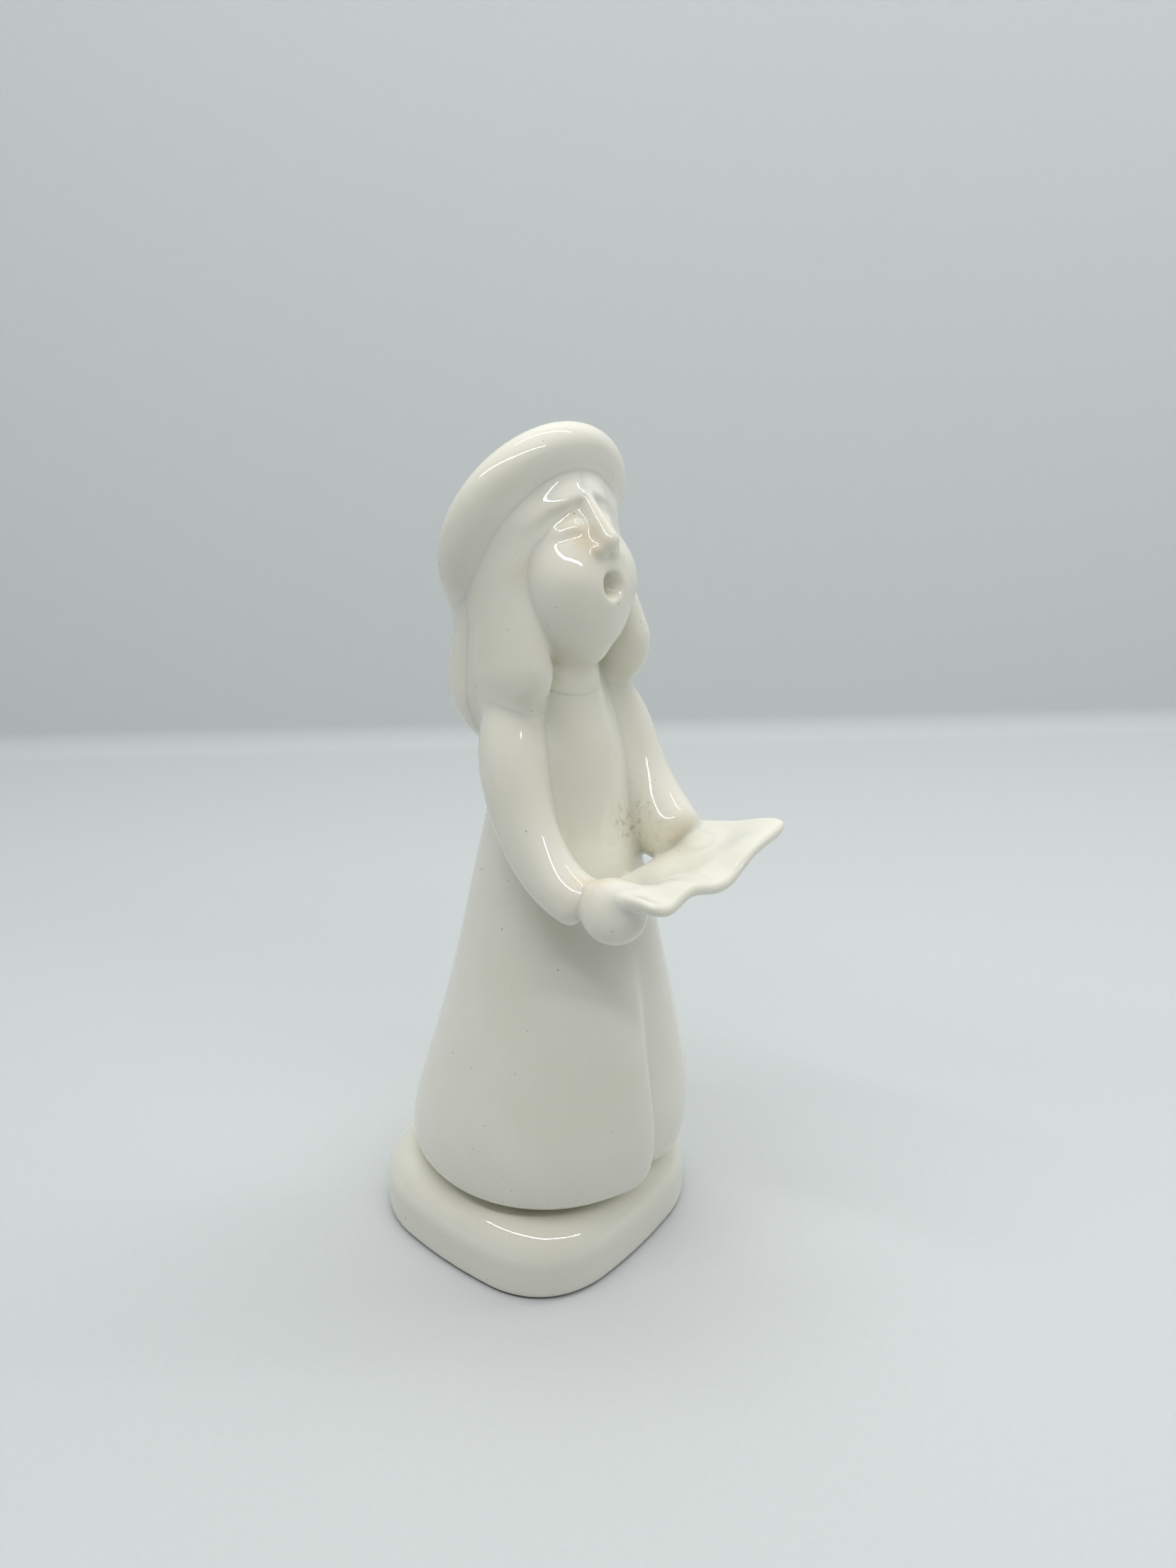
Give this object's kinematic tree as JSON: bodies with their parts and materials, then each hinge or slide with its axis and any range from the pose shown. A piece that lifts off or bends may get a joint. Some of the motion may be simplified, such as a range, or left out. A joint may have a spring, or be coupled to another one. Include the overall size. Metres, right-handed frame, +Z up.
{
  "type": "angel figurine",
  "caption": "Standing singing angel figurine in glazed ceramic, with a halo roll, parted hair, long robe and open song sheet, on a pebble-shaped base.",
  "frame": {"origin": "on the flat underside of the base, below the figure", "axes": "+Z up along the figure; the figure faces -Y; its own left hand is on +X"},
  "size_m": [0.0477, 0.0579, 0.1304],
  "materials": {
    "glaze": "thick glossy ivory-white glaze",
    "glaze_stained": "glossy ivory-white glaze with faint ochre stains in the recesses",
    "glaze_foot": "glossy glaze, wiped dry-matt on the underside"
  },
  "bodies": {
    "root": {"base": "glaze_foot", "robe": "glaze", "head": "glaze_stained", "halo": "glaze", "hair_back": "glaze", "hair_right": "glaze", "hair_left": "glaze", "sleeve_right": "glaze", "sleeve_left": "glaze", "hand_right": "glaze_stained", "hand_left": "glaze", "song_sheet": "glaze"}
  },
  "joints": []
}
